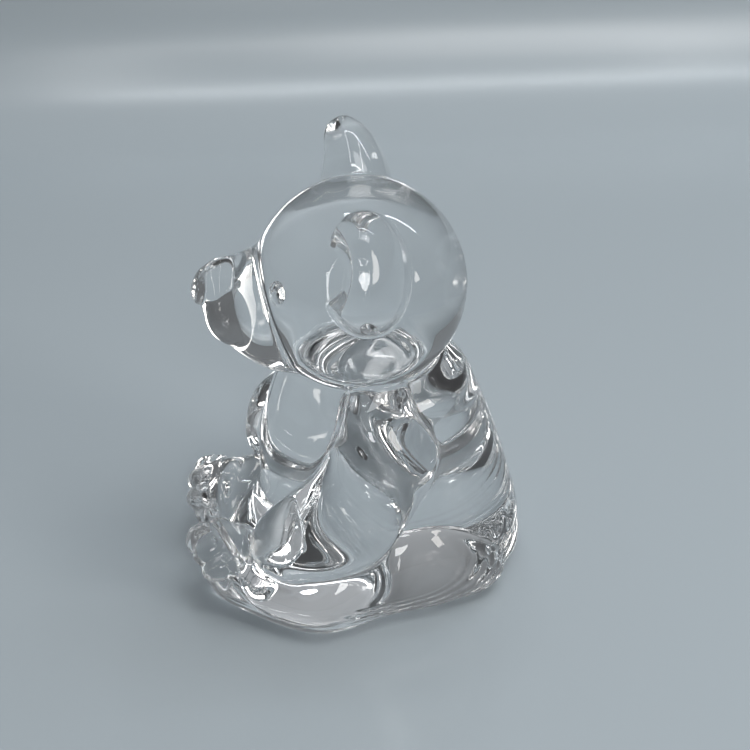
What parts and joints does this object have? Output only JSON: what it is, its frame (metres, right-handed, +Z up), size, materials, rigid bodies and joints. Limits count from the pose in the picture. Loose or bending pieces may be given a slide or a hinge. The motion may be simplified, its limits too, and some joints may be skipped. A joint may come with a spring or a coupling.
{
  "type": "crystal bear figurine",
  "caption": "Seated bear figurine of solid clear crystal with a round head, scooped ears, rounded limbs and a flat polished base.",
  "frame": {"origin": "middle of the footprint, on the plane that the figurine sits on", "axes": "+Z up, -Y the way the bear faces, +X the bear's own left"},
  "size_m": [0.0662, 0.08, 0.1051],
  "materials": {
    "crystal": "clear, fire-polished, no tint"
  },
  "bodies": {
    "root": {"torso": "crystal", "head": "crystal", "muzzle": "crystal", "nose": "crystal", "left_ear": "crystal", "right_ear": "crystal", "left_eye": "crystal", "right_eye": "crystal", "left_arm": "crystal", "right_arm": "crystal", "left_leg": "crystal", "right_leg": "crystal", "left_foot": "crystal", "right_foot": "crystal"}
  },
  "joints": []
}
